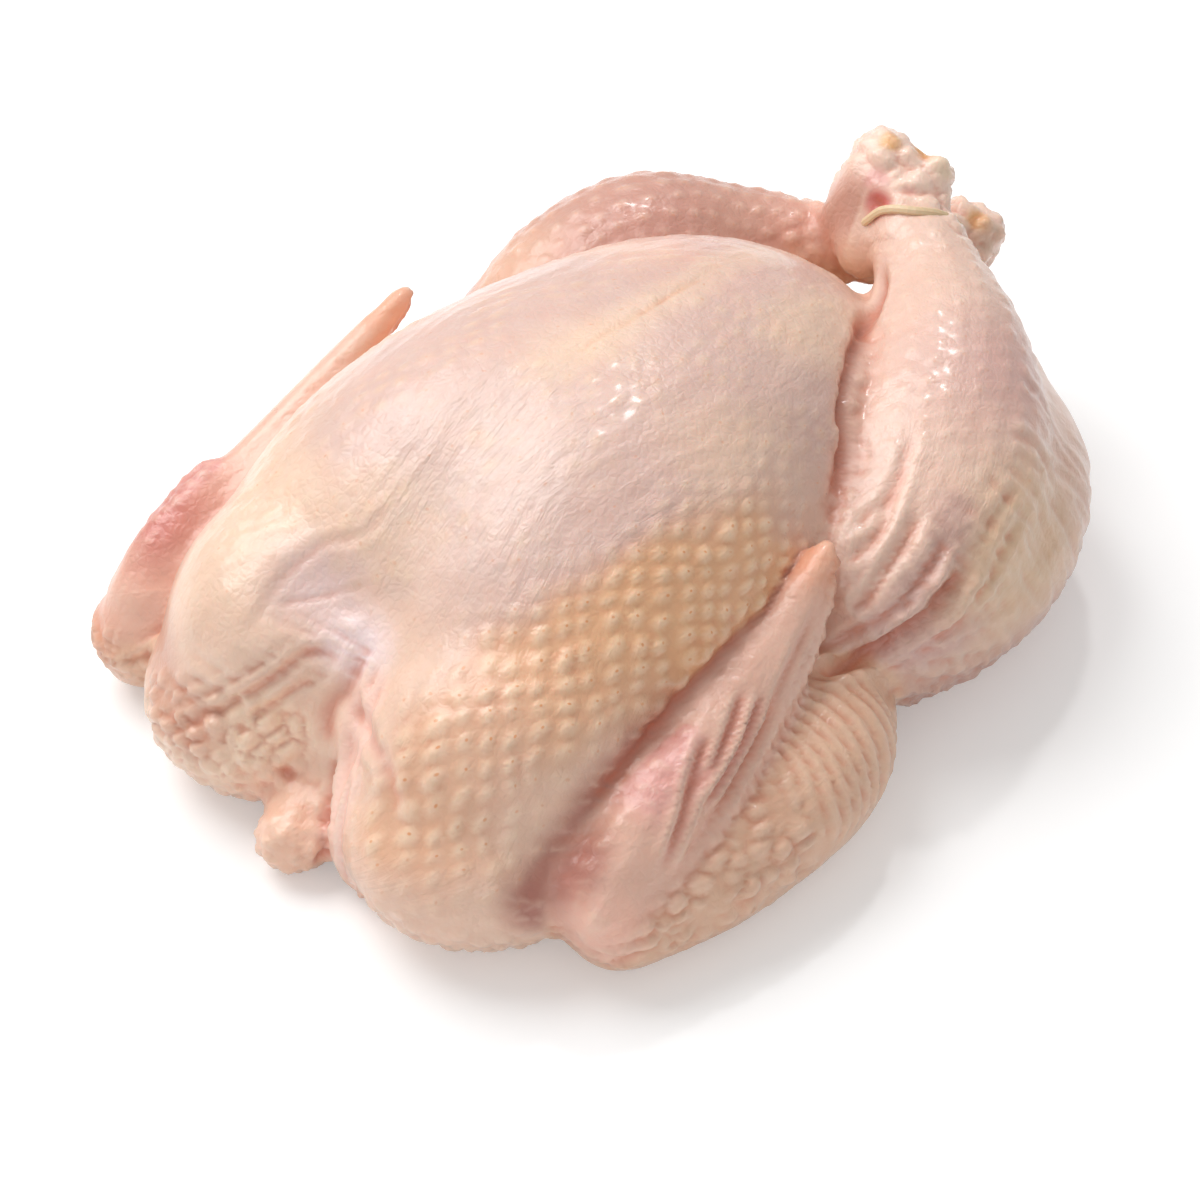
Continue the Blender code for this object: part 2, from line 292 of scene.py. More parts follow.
girdle = BODY_GIRTH * np.arctan2(x - KEEL_X, z - body_axis)    # round the body
lay = np.stack([girdle, y, np.zeros(len(place))], 1)
for share, down, across, breadth in (leg_r, leg_l):
    mine = (is_leg > 0.5) & (is_right == (share is leg_r[0]))
    lay[mine] = np.stack([across, down, np.full(len(place), 90.0)], 1)[mine]
for share, down, across, breadth in (fore_r, fore_l, hand_r, hand_l, thumb_r, thumb_l):
    mine = (share < 1.3) & (is_wing > 0.5)
    lay[mine] = np.stack([across, down, np.full(len(place), 180.0)], 1)[mine]

# The flat chart of the breast that the follicle rows are set out on.
chart_a = 0.76 * half + 0.649 * y + 8.5
chart_b = -0.443 * half + 0.518 * y + 0.731 * z + 2.6

# ---- Skin: breast ------------------------------------------------------------------------
# The breast skin is tight over the keel, crinkled down the middle, and runs in fine
# streaks towards the neck.  Fat shows yellow at the right flank and at the shoulders.
LILAC = pigment(222, 190, 182)
SHADED_LILAC = pigment(208, 178, 168)
FAT = pigment(244, 198, 150)
PALE = pigment(248, 226, 210)
ROSE = pigment(236, 178, 168)
PURPLE_AND_SHADE = pigment(176, 110, 98)

broad = waves(place, 34)
drift = waves(place + 200, 16)
stain(is_trunk * fade(z + 6 * drift, 48, 74) * fade(broad, -0.35, 0.25) * 0.85, LILAC)
# the right side of the breast, turned from the light, takes a grey lilac: muscle showing through,
# greyed as painted shade
stain(is_trunk * (around((48, -2, 66), (26, 40, 26), 0.7) * 0.5), SHADED_LILAC)
stain(is_trunk * around((-74, -50, 48), (34, 70, 30), 0.8) * 0.6, PALE)
stain(is_trunk * around((-20, 40, 86), (40, 40, 22), 0.8) * 0.35, ROSE)

keel = ((-5, -29, 91), (-3, -12, 92), (-2, 15, 90), (-4, 34, 87), (-5, 53, 79))
crease(keel, 0.55, 0.9, colour=pigment(232, 184, 136), strength=0.5)
stain(beside(keel, 9) * 0.4, pigment(246, 218, 192))
# small wrinkles leave the keel on both sides like the barbs of a feather
barbs = ridges(np.stack([y + 0.8 * half + 1.5 * drift, half * 0.25, is_right * 40.0], 1), 3.4)
lift += 0.28 * barbs * beside(keel, 13) * is_trunk

streaks = ridges(np.stack([girdle + 3 * drift, y * 0.22, z * 0], 1), 5.5)
lift += 0.26 * streaks * is_trunk * fade(z, 45, 62) * fade(np.abs(girdle), 6, 14)
crinkle = around((0, -62, 80), (36, 48, 30), 0.7)
lift += crinkle * 0.30 * ridges(np.stack([girdle + 0.5 * y + 2 * drift, y * 0.4, z * 0], 1), 4)
lift += crinkle * 0.16 * ridges(np.stack([girdle, y - 0.6 * girdle, z * 0.5], 1), 2.6)
stain(crinkle * 0.5, pigment(244, 220, 210))

# the left fold, the hollow above it and the notch between the two breasts
crease(((-38, -128, 24), (-31, -124, 31), (-26, -120, 35), (-19, -112, 42), (-16, -105, 46),
        (-11, -100, 47), (-6, -100, 46)), 1.0, 1.4, 0.7, pigment(228, 164, 148), 0.3)
crease(((-39, -125, 30), (-30, -120, 37), (-23, -114, 44), (-18, -107, 48)), 0.8, 1.1, 0.6)
crease(((-29, -128, 21), (-22, -121, 30), (-15, -110, 39), (-9, -103, 42)), 0.7, 1.0, 0.6)
crease(((-44, -122, 30), (-34, -119, 38), (-25, -112, 45), (-16, -103, 50)), 0.6, 1.4)
fold_side = beside(((-42, -124, 28), (-30, -119, 38), (-18, -108, 47), (-8, -100, 50)), 13, 0.2)
lift += fold_side * 1.1 * ridges(np.stack([z + 0.9 * y, x * 0.16, drift], 1), 3.6)
lift -= 2.2 * around((-21, -97, 58), (15, 15, 13), 0.9)
stain(around((-22, -95, 58), (20, 18, 15), 0.9) * 0.75, pigment(234, 208, 208))
crease(((-27, -112, 49), (-28, -98, 59), (-25, -88, 64), (-17, -83, 68), (-14, -72, 74)),
       0.7, 1.4)
crease(((-27, -105, 55), (-24, -102, 56), (-18, -95, 57), (-9, -87, 60)), 0.6, 1.0)
crease(((-5, -102, 42), (1, -105, 39), (11, -111, 42), (20, -116, 44), (26, -120, 41),
        (31, -123, 34)), 1.0, 2.2, 0.5, pigment(230, 172, 168), 0.45)
crease(((-4, -96, 52), (-4, -102, 44), (-6, -108, 36), (-3, -112, 28)), 1.6, 2.0, 0.4,
       pigment(226, 160, 150), 0.5)
# the skin over the wishbone is painted near white: its own pale colour with a painted rosy
# highlight on top
wishbone = around((-6, -97, 50), (16, 14, 13), 0.8)
stain(wishbone * 0.85, pigment(254, 234, 238))
lift += wishbone * 0.5 * ridges(np.stack([x, y * 0.3, z * 0.3], 1), 3.2)
crease(((14, -98, 60), (20, -108, 54), (27, -117, 46)), 0.7, 1.6)

# pebbled fat on the lobe under the left fold and on the lower front
lobe = np.maximum(around((-34, -118, 22), (30, 22, 18), 0.6),
                  around((-18, -118, 30), (18, 16, 13), 0.6)) * fade(y, -106, -113)
lift += lobe * 2.0 * (pebbles(place, (5.2, 5.2, 4.2)) - 0.45)
stain(lobe * 0.85, pigment(255, 226, 200))
front = around((34, -120, 22), (36, 22, 20), 0.8)
stain(front * 0.5, pigment(242, 198, 176))
lift += 1.2 * is_trunk * fade(z, 28, 12) * fade(y, -90, -112) * (pebbles(place, 5) - 0.5)

# armpit: thin skin over dark meat, drawn into folds that run to the wing; its dark purple is partly
# painted shade under the wing
armpit = beside(((63, -112, 25), (65, -104, 31), (65, -92, 38), (64, -78, 43), (62, -62, 51),
                 (61, -48, 54)), 13, 0.25) * (1 - 0.6 * is_wing)
stain(armpit * 0.9, PURPLE_AND_SHADE)
left_edge = beside(((-34, -126, 28), (-47, -122, 30), (-60, -110, 34), (-70, -95, 37),
                    (-77, -72, 44)), 14, 0.2)
stain(left_edge * 0.6, pigment(204, 140, 118))
lift += armpit * 1.0 * ridges(np.stack([chart_b + 2 * drift, chart_a * 0.15, z * 0], 1), 3.4)

# ---- Skin: follicles ---------------------------------------------------------------------
# Each plucked feather leaves a raised bead with a tiny pore.  The beads stand in slanting
# rows, high on the yellow flank and faint elsewhere.  The rows are kept for the pores.
BEAD_RISE = 1.35
ROW_PITCH, RANK_PITCH = 5.8, 5.6
BEAD_LONG, BEAD_SHORT = 3.2, 2.15       # its two radii
SLANT = math.radians(58)
wander = 2.4 * waves(place + 70, 12)
a, b = chart_a + wander, chart_b + 2.4 * waves(place - 90, 12)
row = 0.158 * (a + 40) + 0.00036 * (a + 40) ** 2
rank = -(b + 0.09 * a) / (5.8 - 0.014 * (a + 40)) + 0.2 * row
flank = beside(((36, -118, 40), (39, -98, 58), (47, -75, 66), (54, -50, 66), (58, -26, 63)),
               32, 0.2) * is_trunk
flank = np.clip(flank + 0.25 * drift * (flank > 0) * (flank < 1), 0, 1)
left_flank = beside(((-44, -100, 56), (-54, -72, 64), (-62, -46, 64), (-62, -20, 66)),
                    24, 0.2) * is_trunk


def beads(rows, ranks, pitch_row, pitch_rank, long_half, short_half):
    """A raised drop near the middle of every cell of the rows, leaning uphill, no two
    quite alike in size and place."""
    luck = np.sin(12.9 * np.floor(rows) + 78.2 * np.floor(ranks)) * 437.5 % 1
    other = luck * 91.7 % 1
    da = (rows % 1 - 0.4 - 0.2 * luck) * pitch_row
    db = (0.4 + 0.2 * other - ranks % 1) * pitch_rank
    lengthwise = da * math.cos(SLANT) + db * math.sin(SLANT)
    crosswise = -da * math.sin(SLANT) + db * math.cos(SLANT)
    r = (lengthwise / long_half) ** 2 + (crosswise / short_half) ** 2
    return (0.75 + 0.5 * other) * np.clip(1 - r / (0.75 + 0.5 * luck), 0, 1) ** 1.3


size_varies = 0.75 + 0.35 * waves(place + 33, 7)
patch_beads = beads(row, rank, ROW_PITCH, RANK_PITCH, BEAD_LONG, BEAD_SHORT)
lift += BEAD_RISE * patch_beads * flank * size_varies
lift += 0.3 * patch_beads * left_flank * size_varies
upper = is_trunk * fade(z, 52, 66) * (1 - flank)
lift += 0.3 * patch_beads * upper * (1 - crinkle) * fade(drift, -0.3, 0.3)
yellow = fade(flank + 0.3 * drift, 0.38, 1.1) * (0.32 + 0.53 * fade(y, -112, -60))
stain(yellow, FAT)
stain(fade(flank, 0.25, 0.9) * (1 - patch_beads).clip(0, 1) * 0.3, pigment(218, 146, 106))
stain(flank * patch_beads * 0.35, pigment(248, 214, 178))
stain(left_flank * 0.25, pigment(246, 214, 182))
stain(upper * patch_beads * 0.3 * fade(drift, -0.4, 0.4), pigment(246, 216, 182))

pores_flank = flank * fade(waves(place, 6), -0.45, 0.05)
pores_upper = 0.45 * np.maximum(upper, left_flank) * fade(waves(place + 11, 6), -0.1, 0.2)
follicle = np.stack([row, rank, np.maximum(pores_flank, pores_upper)], 1)
for share, down, across, breadth in (leg_r, leg_l):
    mine = (is_leg > 0.5) & (is_right == (share is leg_r[0]))
    rows = (across + wander * 0.7) / 6.2
    ranks = (down + wander * 0.5) / 6.0 + 0.5 * (np.floor(rows) % 2)
    drum = (mine * fade(share, 1.5, 1.1) * (1 - is_hock) * fade(z, 44, 56)
            * fade(y, 14, 34))
    leg_beads = beads(rows, ranks, 6.2, 6.0, 2.4, 2.2)
    lift += (0.45 + 0.2 * (1 - is_right)) * leg_beads * drum
    stain(drum * leg_beads * 0.6, pigment(246, 216, 196))
    follicle[mine] = np.stack([rows, ranks, 0.25 * drum], 1)[mine]

# ---- Skin: legs --------------------------------------------------------------------------
# Skin on the thighs hangs looser.  It gathers where the thigh meets the flank and the
# folds fan out from there over the thigh; muscle shows mauve through it.
MAUVE = pigment(216, 174, 170)
thigh_base = is_leg * (1 - is_hock)
stain(thigh_base * 0.75, pigment(234, 200, 186))
# the left leg is painted darker, partly its own colour and partly painted shade
stain(thigh_base * (1 - is_right) * 0.75, pigment(200, 146, 130))
stain(is_leg * around((56, 60, 64), (30, 34, 22), 0.8) * 0.75, MAUVE)
stain(is_leg * around((92, 34, 46), (30, 44, 34), 0.8) * 0.65, pigment(232, 200, 160))
stain(is_leg * around((84, 0, 34), (14, 34, 10), 0.8) * 0.6, pigment(214, 172, 170))
# painted shade: the right thigh grows darker low down, towards its underside
stain(is_leg * fade(z, 30, 12) * is_right * 0.75, pigment(190, 132, 116))
# the top of the left drumstick is painted darker, partly its own colour and partly painted shade
stain(is_leg * around((-46, 52, 70), (26, 34, 16), 0.8) * 0.6, pigment(204, 150, 138))
stain(is_leg * around((-74, 20, 66), (26, 30, 26), 0.8) * 0.6, pigment(248, 206, 176))

fan_foot = np.array((74, -28, 38.0))
fan = place - fan_foot
fan_far = np.linalg.norm(fan, axis=1)
fan_way = fan / fan_far[:, None]
fan_folds = ridges(fan_way * 10 + 0.25 * broad[:, None], 1.0)
lift += 1.5 * fan_folds * is_leg * is_right * fade(fan_far, 14, 28) * fade(fan_far, 66, 30)
fan_lines = ridges(fan_way * 17 + 0.1 * broad[:, None], 1.0)
lift += 0.55 * fan_lines * is_leg * is_right * fade(fan_far, 18, 34) * fade(fan_far, 74, 36)
left_foot = np.array((-78, -22, 40.0))
left_fan = place - left_foot
left_far = np.linalg.norm(left_fan, axis=1)
left_folds = ridges(left_fan / left_far[:, None] * 9, 1.0)
lift += left_folds * is_leg * (1 - is_right) * fade(left_far, 6, 16) * fade(left_far, 66, 26)
# the long crease where the thigh folds under the flank; its dark valley colour is painted shade
crease(((72, -28, 36), (75, -13, 34), (81, -1, 40), (84, 4, 43), (85, 11, 48), (84, 19, 54)),
       3.0, 2.2, 0.6, pigment(186, 124, 110), 0.6)
for stations, depth in (
        (((70, -24, 50), (72, -8, 47), (73, 0, 52), (73, 8, 57), (70, 18, 62)), 1.4),
        (((64, -14, 60), (63, 4, 59), (64, 14, 62), (61, 23, 66), (57, 32, 69)), 1.1),
        (((68, -20, 34), (72, -11, 39), (78, -2, 45), (80, 7, 52), (79, 18, 59)), 1.5),
        (((67, -20, 58), (66, -4, 55), (67, 6, 58), (65, 16, 63)), 1.0),
        (((84, 14, 50), (85, 22, 54), (84, 30, 58), (83, 40, 58)), 0.8),
        (((87, 6, 35), (89, 19, 45), (88, 28, 51), (86, 38, 53)), 0.8),
        (((88, 0, 30), (91, 14, 38), (92, 26, 44)), 0.7),
        (((66, 63, 68), (71, 69, 59), (78, 71, 47)), 0.7),
        (((74, 48, 66), (79, 53, 59), (85, 57, 45)), 0.7),
        (((78, 38, 64), (83, 43, 56), (89, 46, 44)), 0.6)):
    crease(stations, depth, 1.5, 0.6)
mauve_band = beside(((76, -14, 40), (80, -2, 46), (82, 8, 53), (79, 20, 61)), 9, 0.2) * is_leg
stain(mauve_band * 0.55, pigment(206, 166, 164))
skirt = is_leg * is_right * fade(half, 74, 84)
lift += 0.9 * skirt * ridges(np.stack([y + 0.35 * z + 2 * drift, z * 0.25, x * 0.1], 1), 4.4)
glaze = around((56, 18, 64), (16, 20, 14), 0.7) * is_leg
lift += 0.35 * glaze * ridges(place + 2 * drift[:, None], 4.2)
stain(glaze * 0.6, pigment(246, 216, 204))
bulge = around((84, 6, 18), (22, 44, 18), 0.7) * is_leg
lift += 0.8 * bulge * (pebbles(place, 6) - 0.5) * fade(z, 3, 12)
lift += 0.5 * is_leg * (1 - is_right) * fade(z, 40, 24) * (pebbles(place, 7) - 0.4)
# knobbly edge of the thigh skin along the deep crevice beside the breast
seam_edge = beside(((27, 51, 68), (34, 38, 70), (41, 26, 69), (48, 16, 64), (54, 5, 58)), 8, 0.3)
lift += 1.1 * seam_edge * (pebbles(place + 2 * drift[:, None], 6.5) - 0.55)
# the deep crevice between thigh and breast; its dark brown valley is painted shade
crease(((10, 90, 66), (18, 72, 67), (26, 52, 69), (33, 38, 71), (40, 26, 70), (47, 16, 64),
        (53, 5, 59), (58, -3, 55)), 2.6, 1.8, 0.1, pigment(150, 84, 70), 0.75)
stain(seam_edge * 0.4, pigment(222, 160, 140))

# ---- Skin: wings -------------------------------------------------------------------------
# The forearms lie back along the body with the hands folded over them.  Feather roots
# left ribs over the elbow, pebbles by the wrist and a scalloped edge down the hand.
for (share, down, across, breadth), hand, side in ((fore_r, hand_r, 1), (fore_l, hand_l, -1)):
    arm = fade(share, 1.45, 1.15) * is_wing * fade(hand[0], 0.95, 1.25)
    outer = side * across
    sweep = down + 0.35 * np.abs(outer) + 1.2 * drift
    ribs = (0.5 + 0.5 * np.cos(2 * math.pi * sweep / 3.9 + 2.5 * broad + 1.2 * drift)) ** 0.6
    elbow = fade(down, 36, 50)
    lift += 1.4 * arm * ribs * elbow * fade(z, 12, 22)
    grit = pebbles(np.stack([outer, down, z * 0], 1), (4.2, 5.2, 9)) - 0.5
    lift += 2.0 * arm * (1 - elbow) * grit * fade(z, 6, 16)
    wrinkled = ridges(np.stack([z + 0.1 * down, down * 0.12, z * 0], 1), 2.6)
    lift += 0.6 * arm * fade(z, 24, 12) * wrinkled
    stain(arm * 0.75, pigment(232, 188, 158))
    stain(arm * ribs * elbow * 0.3, pigment(240, 202, 172))
for share, down, across, breadth in (hand_r, hand_l):
    mine = fade(share, 1.4, 1.05) * is_wing
    stain(mine * 0.8, pigment(238, 192, 174))
    length = down.max()
    stain(mine * fade(down, 0.82 * length, 0.97 * length) * 0.8, pigment(240, 164, 128))
    lift += 0.3 * mine * ridges(np.stack([across, down * 0.2, z * 0], 1), 3.4)
for stations, depth in ((((71, -50, 51), (75, -61, 46), (77, -70, 43), (78, -78, 40)), 1.5),
                        (((74, -46, 49), (77, -58, 43), (79, -67, 40), (80, -76, 37)), 1.7)):
    crease(stations, depth, 1.15, 0.7, pigment(226, 150, 142), 0.7)
crease(((67, -18, 56), (70, -28, 51), (74, -42, 46), (78, -54, 41), (81, -66, 37), (82, -76, 34)),
       1.5, 1.5, 0.5, pigment(220, 150, 128), 0.6)
for (share, down, across, breadth), trailing in ((hand_r, 1), (hand_l, -1)):
    mine = fade(share, 1.4, 1.1) * is_wing * fade(down, 10, 30)
    rim = fade(breadth * trailing, 0.62, 0.95)
    lift += 0.8 * mine * rim * np.cos(2 * math.pi * down / 3.3)
    pleats = 0.5 + 0.5 * np.cos(2 * math.pi * (down + 9 * breadth * trailing + drift) / 3.9)
    lift += 0.8 * mine * pleats * fade(breadth * trailing, 0.15, 0.5) * (1 - 0.6 * rim)
    lift -= 1.0 * mine * np.exp(-((breadth * trailing - 0.32 - 0.05 * drift) / 0.12) ** 2)
    # the gap of shade between the hand and the breast that it lies against
    gap = (np.exp(-((share - 1.32) / 0.14) ** 2) * fade(-breadth * trailing, 0.2, 0.8)
           * fade(down, 8, 24))
    lift -= 1.8 * gap
    stain(0.5 * gap, pigment(170, 104, 88))
crease(((-76, -20, 57), (-77, -40, 50), (-78, -60, 44), (-79, -74, 38)), 1.2, 1.3, 0.6,
       pigment(214, 132, 118), 0.6)
for share, down, across, breadth in (thumb_r, thumb_l):
    mine = fade(share, 1.35, 1.0) * is_wing
    mine = mine * fade(down, 0, 9)
    stain(mine * 0.7, pigment(232, 168, 166))
    lift += 0.7 * mine * (pebbles(place, 3.6) - 0.5)
crease(((71, -63, 47), (75, -73, 43), (78, -82, 37), (80, -92, 30)), 2.6, 1.4, 0.5,
       pigment(206, 120, 120), 0.7)
wrist = around((76, -106, 20), 14, 0.8)
crease(((72, -112, 16), (76, -111, 21), (78, -107, 27)), 1.8, 1.5, 0.7, pigment(224, 120, 112), 0.8)
crease(((76, -108, 8), (81, -106, 12), (84, -101, 16)), 1.0, 1.4, 0.6, pigment(226, 140, 124), 0.6)
# a dark patch at the near end of the armpit, under the wing: partly painted shade
stain(around((67, -104, 30), (9, 18, 15), 0.7) * 0.85, pigment(186, 120, 108))
stain(wrist * 0.9, pigment(255, 204, 186))
stain(around((-78, -84, 36), (14, 30, 20), 0.8) * is_wing * 0.85, pigment(204, 112, 100))
stain(around((-80, -104, 16), (14, 18, 16), 0.7) * is_wing * 0.7, pigment(232, 150, 118))

# ---- Skin: neck and vent ---------------------------------------------------------------
# The cut neck ends in a soft round stump with a flap of loose skin folded beside it.
# At the other end the tail sits in its ring of fat, under the legs.
neck = around((-6, -124, 10), (20, 18, 16), 0.5)
stain(neck * 0.8, pigment(252, 206, 182))
flap = beside(((6, -102, 40), (9, -112, 28), (12, -119, 16), (17, -122, 6)), 12, 0.4)
stain(flap * 0.9, pigment(255, 218, 206))
lift += flap * 2.0 * (ridges(np.stack([x + 0.3 * z, z * 0.22, y * 0.2], 1), 4.6) - 0.4)
crease(((-2, -110, 27), (3, -118, 18), (6, -124, 8), (7, -126, 2)), 2.0, 1.7, 0.4,
       pigment(214, 124, 112), 0.6)
crease(((-14, -118, 20), (-6, -118, 21), (1, -116, 21)), 1.2, 1.6, 0.4, pigment(206, 120, 100), 0.6)
lift += 0.35 * neck * waves(place, 5)
vent = around((-4, 80, 30), (40, 34, 34), 0.6) * fade(y, 62, 80) * (1 - is_hock)
stain(vent * 0.6, pigment(240, 202, 166))
lift += 1.6 * vent * (pebbles(place, 6.5) - 0.5)
tail = around((-4, 100, 26), (22, 24, 20), 0.6) * fade(z, 48, 40)
stain(tail * 0.6, pigment(238, 186, 150))
crease(((-20, 84, 30), (-12, 88, 36), (-4, 90, 38), (4, 88, 36), (12, 84, 30)), 2.6, 2.2, 0.4,
       pigment(214, 130, 112), 0.6)
crease(((-4, 92, 36), (-4, 100, 37), (-4, 107, 34)), 0.9, 1.6, 0.4)
under = fade(z, 12, 3)
stain(under * 0.5, pigment(238, 196, 168))
lift += 0.25 * under * (1 - is_wing) * fade(z, 0.4, 2.5) * (pebbles(place, 7) - 0.4)

# ---- Skin: hocks ---------------------------------------------------------------------------
# The legs end at the cut hock joints: knobs of gristle and cartilage in rolled-back skin.
AMBER = pigment(232, 170, 86)
stain(is_hock * 0.8, pigment(252, 222, 208))
lift += 1.6 * is_hock * (pebbles(place, (8, 8, 7)) - 0.5)
lift += 0.8 * is_hock * (pebbles(place + 40, 4) - 0.5)
shank_l = around((-24, 92, 52), (24, 20, 16), 0.7)
lift += 1.0 * shank_l * (pebbles(place, 5) - 0.5)
stain(shank_l * 0.5, pigment(226, 160, 142))
for centre, radius, colour, strength in (
        ((1, 92, 75), 5.5, pigment(216, 112, 112), 0.9),
        ((-2, 95, 80), 5, pigment(226, 150, 150), 0.6),
        ((-5, 105, 86), 4.5, AMBER, 0.8),
        ((2, 111, 81), 4.5, AMBER, 0.8),
        ((9, 111, 81), 5.5, pigment(250, 226, 198), 0.8),
        ((-10, 98, 70), 6, pigment(238, 170, 160), 0.6),
        ((14, 122, 60), 5, AMBER, 0.75),
        ((18, 122, 56), 6, pigment(206, 176, 150), 0.6),
        ((-20, 76, 66), 8, pigment(190, 92, 84), 0.7)):
    stain(around(centre, radius, 0.6) * strength, colour)
lift -= 2.4 * around((1, 92, 75), 4.5, 1.0)
lift += 1.3 * around((2.5, 92, 73), 2.4, 1.0)
lift += 0.9 * around((9, 111, 81), 5, 1.0)
lift += 0.7 * around((-5, 105, 86), 4.5, 1.0)
crease(((-4, 93, 84), (0, 93, 80), (5, 96, 80), (9, 100, 78)), 1.2, 1.2, 0.5,
       pigment(206, 140, 150), 0.7)

# ---- Skin: finish --------------------------------------------------------------------------
# The sculpted skin is laid down, and its colours and rows go with it for the material.
SHARPNESS = 0.65        # the rest of each lift is shared with the neighbours
OVERHANG = 1.5
WARMER = (1.0, 0.975, 0.945)
lift = SHARPNESS * lift + (1 - SHARPNESS) * neighbours(lift[:, None])[:, 0]
place += facing * lift[:, None]
place[:, 2] = np.maximum(place[:, 2], 0.0)
low = np.array(cad_box[0]) / MM - OVERHANG
high = np.array(cad_box[1]) / MM + OVERHANG
place = np.clip(place, low, high)
facing = lay_skin(place)


def hollowness(rounds):
    """How deep each point lies below the skin round it, in millimetres."""
    eased = place
    for _ in range(rounds):
        eased = neighbours(eased)
    return ((eased - place) * facing).sum(1)


# painted shade and some blood darken the folds, and raised skin is painted paler as a painted
# highlight
narrow, wide = hollowness(3), hollowness(22)
stain(0.5 * fade(narrow, 0.04, 0.6), pigment(220, 134, 104))
stain(0.4 * fade(wide, 0.4, 3.0), pigment(198, 118, 98))
stain(0.3 * fade(-narrow, 0.05, 0.4), pigment(250, 222, 202))
tone *= (1 + 0.05 * waves(place, 9) + 0.03 * waves(place, 3.2))[:, None]
tone *= WARMER

# where one map of the skin meets the next, the fine wrinkles are calmed
rough = np.zeros((len(place), 1))
rough[ends[np.abs(lay[ends[:, 0]] - lay[ends[:, 1]]).max(1) > 4].ravel()] = 1
for _ in range(3):
    rough = np.clip(3 * neighbours(rough), 0, 1)
calm = 1 - rough[:, 0]
follicle[:, 2] *= calm
calm *= np.clip(0.26 + 0.3 * fade(waves(place, (14, 22, 14)), 0, 0.4) + crinkle + 0.8 * glaze
                + 0.6 * skirt + 0.5 * fade(flank, 0, 0.5) * (1 - fade(flank, 0.5, 1)), 0, 1)

calm_layer = net.attributes.new("calm", "FLOAT", "POINT")
calm_layer.data.foreach_set("value", calm)
tone_layer = net.attributes.new("tone", "FLOAT_COLOR", "POINT")
tone_layer.data.foreach_set("color", np.column_stack([tone.clip(0, 1), np.ones(len(tone))]).ravel())
row_layer = net.attributes.new("follicle", "FLOAT_VECTOR", "POINT")
row_layer.data.foreach_set("vector", follicle.ravel())
lay_layer = net.attributes.new("lay", "FLOAT_VECTOR", "POINT")
lay_layer.data.foreach_set("vector", lay.ravel())

bpy.ops.object.select_all(action="DESELECT")
skin.select_set(True)
bpy.context.view_layer.objects.active = skin
bpy.ops.object.shade_smooth()

moist_skin = bpy.data.materials.new("moist_skin")
moist_skin.use_nodes = True
nodes, links = moist_skin.node_tree.nodes, moist_skin.node_tree.links
shader = nodes["Principled BSDF"]
shader.inputs["Subsurface Weight"].default_value = 0.15
shader.inputs["Subsurface Radius"].default_value = (1.0, 0.4, 0.25)
shader.inputs["Subsurface Scale"].default_value = 0.0012
shader.inputs["Coat Weight"].default_value = 0.45
shader.inputs["Coat Roughness"].default_value = 0.15
shader.inputs["Coat IOR"].default_value = 1.35


def node(kind, **settings):
    """A node with its settings; sockets are named with underscores for spaces."""
    made = nodes.new(kind)
    for key, value in settings.items():
        socket = made.inputs.get(key.replace("_", " "))
        if socket is not None:
            socket.default_value = value
        else:
            setattr(made, key, value)
    return made


def feed(source, target):
    links.new(source, target)


spot = node("ShaderNodeTexCoord").outputs["Object"]
own_tone = node("ShaderNodeAttribute", attribute_name="tone").outputs["Color"]
rows = node("ShaderNodeAttribute", attribute_name="follicle").outputs["Vector"]
run = node("ShaderNodeAttribute", attribute_name="lay").outputs["Vector"]

# mottling of the fat and blood under the skin
mottle = node("ShaderNodeTexNoise", Scale=150.0, Detail=5.0, Roughness=0.6)
feed(spot, mottle.inputs["Vector"])
warmth = node("ShaderNodeMapRange", From_Min=0.35, From_Max=0.75, To_Min=0.0, To_Max=0.4)
feed(mottle.outputs["Fac"], warmth.inputs["Value"])
warmed = node("ShaderNodeMix", data_type="RGBA", blend_type="MULTIPLY")
warmed.inputs[7].default_value = (1.0, 0.86, 0.80, 1)
feed(warmth.outputs["Result"], warmed.inputs[0])
feed(own_tone, warmed.inputs[6])

# pores at the middle of the beads
cell = node("ShaderNodeVectorMath", operation="FRACTION")
feed(rows, cell.inputs[0])
from_pore = node("ShaderNodeVectorMath", operation="SUBTRACT")
from_pore.inputs[1].default_value = (0.60, 0.42, 0)
feed(cell.outputs[0], from_pore.inputs[0])
flattened = node("ShaderNodeVectorMath", operation="MULTIPLY")
flattened.inputs[1].default_value = (1, 1, 0)
feed(from_pore.outputs[0], flattened.inputs[0])
pore_gap = node("ShaderNodeVectorMath", operation="LENGTH")
feed(flattened.outputs[0], pore_gap.inputs[0])
pore = node("ShaderNodeMapRange", From_Min=0.085, From_Max=0.035, To_Min=0.0, To_Max=0.7)
feed(pore_gap.outputs["Value"], pore.inputs["Value"])
rows_apart = node("ShaderNodeSeparateXYZ")
feed(rows, rows_apart.inputs[0])
pore_here = node("ShaderNodeMath", operation="MULTIPLY")
feed(pore.outputs["Result"], pore_here.inputs[0])
feed(rows_apart.outputs["Z"], pore_here.inputs[1])
pored = node("ShaderNodeMix", data_type="RGBA")
pored.inputs[7].default_value = (*pigment(226, 140, 74), 1)
feed(pore_here.outputs[0], pored.inputs[0])
feed(warmed.outputs[2], pored.inputs[6])
feed(pored.outputs[2], shader.inputs["Base Color"])

